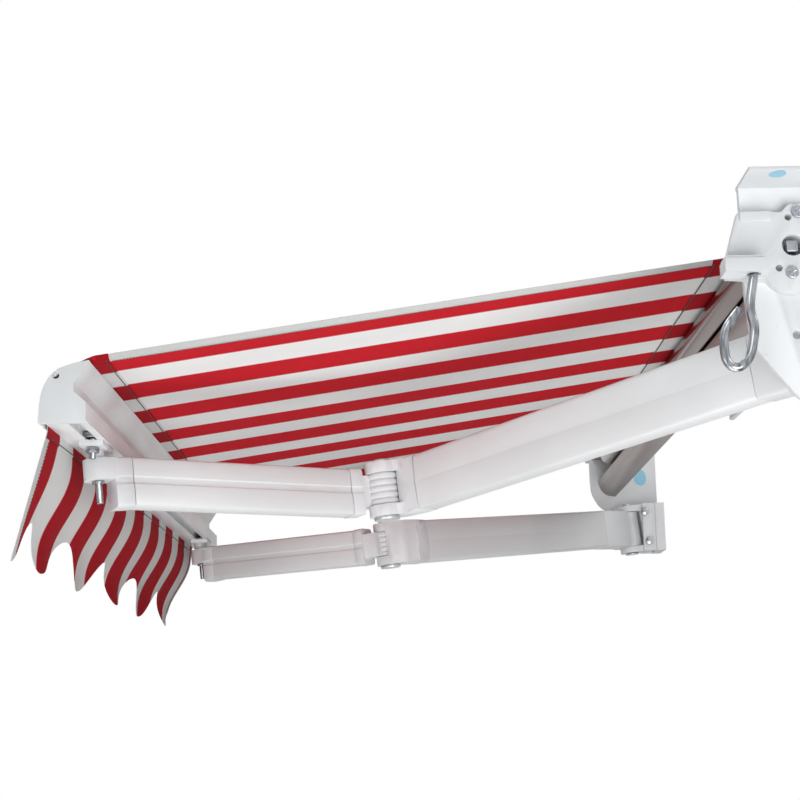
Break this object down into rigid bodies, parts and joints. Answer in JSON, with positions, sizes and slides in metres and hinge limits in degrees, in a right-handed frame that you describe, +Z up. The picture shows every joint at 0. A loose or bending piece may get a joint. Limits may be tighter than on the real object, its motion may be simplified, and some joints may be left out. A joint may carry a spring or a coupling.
{
  "type": "canvas awning",
  "caption": "Wall-mounted folding-arm awning with a striped cloth on a roller, a scalloped valance on the front bar, and a crank eye on the gear at one end.",
  "frame": {"origin": "on the wall plane at mid-width, in the flat back of the middle wall bracket", "axes": "X runs along the awning with the crank at +X, +Y points into the wall, +Z is up"},
  "size_m": [1.978, 1.0881, 0.3886],
  "materials": {
    "white_paint": "white satin powder coat on aluminium",
    "zinc": "bright zinc plate",
    "alloy": "mill finish",
    "cloth": "woven, red and white stripes"
  },
  "bodies": {
    "cassette": {"back_profile": "alloy", "wall_bracket": "white_paint", "end_plate_right": "white_paint", "end_plate_left": "white_paint", "gear_housing": "white_paint", "gear_screw_1": "zinc", "gear_screw_2": "zinc", "gear_hub": "zinc", "idle_bearing": "alloy", "canopy_cloth": "cloth", "shoulder_base_right": "white_paint", "tilt_block_right": "white_paint", "shoulder_pin_right": "zinc", "tilt_bolt_right": "zinc", "clamp_bolt_right": "zinc", "shoulder_base_left": "white_paint", "tilt_block_left": "white_paint", "shoulder_pin_left": "zinc", "tilt_bolt_left": "zinc", "clamp_bolt_left": "zinc"},
    "roller": {"roller_tube": "alloy", "drive_axle": "zinc", "idle_axle": "zinc"},
    "crank": {"crank_eye": "zinc"},
    "rear_arm_right": {"rear_arm_tube_right": "white_paint", "shoulder_casting_right": "white_paint", "elbow_fork_right": "white_paint", "elbow_pin_right": "alloy"},
    "forearm_right": {"forearm_tube_right": "white_paint", "elbow_knuckle_right": "white_paint", "wrist_end_right": "white_paint"},
    "bar": {"front_bar": "white_paint", "bar_cap_right": "white_paint", "bar_cap_left": "white_paint", "valance": "cloth", "wrist_bracket_right": "white_paint", "wrist_pin_right": "zinc", "slot_bolt_right": "zinc"},
    "rear_arm_left": {"rear_arm_tube_left": "white_paint", "shoulder_casting_left": "white_paint", "elbow_fork_left": "white_paint", "elbow_pin_left": "alloy"},
    "forearm_left": {"forearm_tube_left": "white_paint", "elbow_knuckle_left": "white_paint", "wrist_end_left": "white_paint"},
    "wrist_left": {"wrist_bracket_left": "white_paint", "wrist_pin_left": "zinc", "slot_bolt_left": "zinc"}
  },
  "joints": [
    {"name": "arm_fold", "type": "hinge", "parent": "cassette", "child": "rear_arm_right", "pos_m": [0.878, -0.075, -0.11], "axis": [0, 0.1054, -0.9944], "range_deg": [0, 39.69], "deforming": ["canopy_cloth"]},
    {"name": "elbow_right", "type": "hinge", "parent": "rear_arm_right", "child": "forearm_right", "pos_m": [0.35319, -0.61675, -0.16742], "axis": [0, -0.1054, 0.9944], "range_deg": [0, 94]},
    {"name": "wrist_right", "type": "hinge", "parent": "forearm_right", "child": "bar", "pos_m": [0.55, -0.99533, -0.20754], "axis": [0, 0.1054, -0.9944], "range_deg": [0, 54.5]},
    {"name": "shoulder_left", "type": "hinge", "parent": "cassette", "child": "rear_arm_left", "pos_m": [-0.878, -0.075, -0.11], "axis": [0, -0.1054, 0.9944], "range_deg": [0, 39.69]},
    {"name": "elbow_left", "type": "hinge", "parent": "rear_arm_left", "child": "forearm_left", "pos_m": [-0.35319, -0.61675, -0.16742], "axis": [0, 0.1054, -0.9944], "range_deg": [0, 94]},
    {"name": "wrist_left_turn", "type": "hinge", "parent": "forearm_left", "child": "wrist_left", "pos_m": [-0.55, -0.99533, -0.20754], "axis": [0, -0.1054, 0.9944], "range_deg": [0, 54.5]},
    {"name": "roller_turn", "type": "hinge", "parent": "cassette", "child": "roller", "pos_m": [0, -0.134, 0.033], "axis": [-1, 0, 0], "range_deg": [0, 1950]},
    {"name": "crank_turn", "type": "hinge", "parent": "cassette", "child": "crank", "pos_m": [0.958, -0.195, -0.0485], "axis": [0, 0.1736, 0.9848], "range_deg": [0, 9730]}
  ],
  "couplings": [
    {"joint": "elbow_right", "follows": "arm_fold", "ratio": 2.3625},
    {"joint": "wrist_right", "follows": "arm_fold", "ratio": 1.3625},
    {"joint": "shoulder_left", "follows": "arm_fold", "ratio": 1},
    {"joint": "elbow_left", "follows": "arm_fold", "ratio": 2.3625},
    {"joint": "wrist_left_turn", "follows": "arm_fold", "ratio": 1.3625},
    {"joint": "roller_turn", "follows": "arm_fold", "ratio": 49},
    {"joint": "crank_turn", "follows": "arm_fold", "ratio": 245}
  ]
}
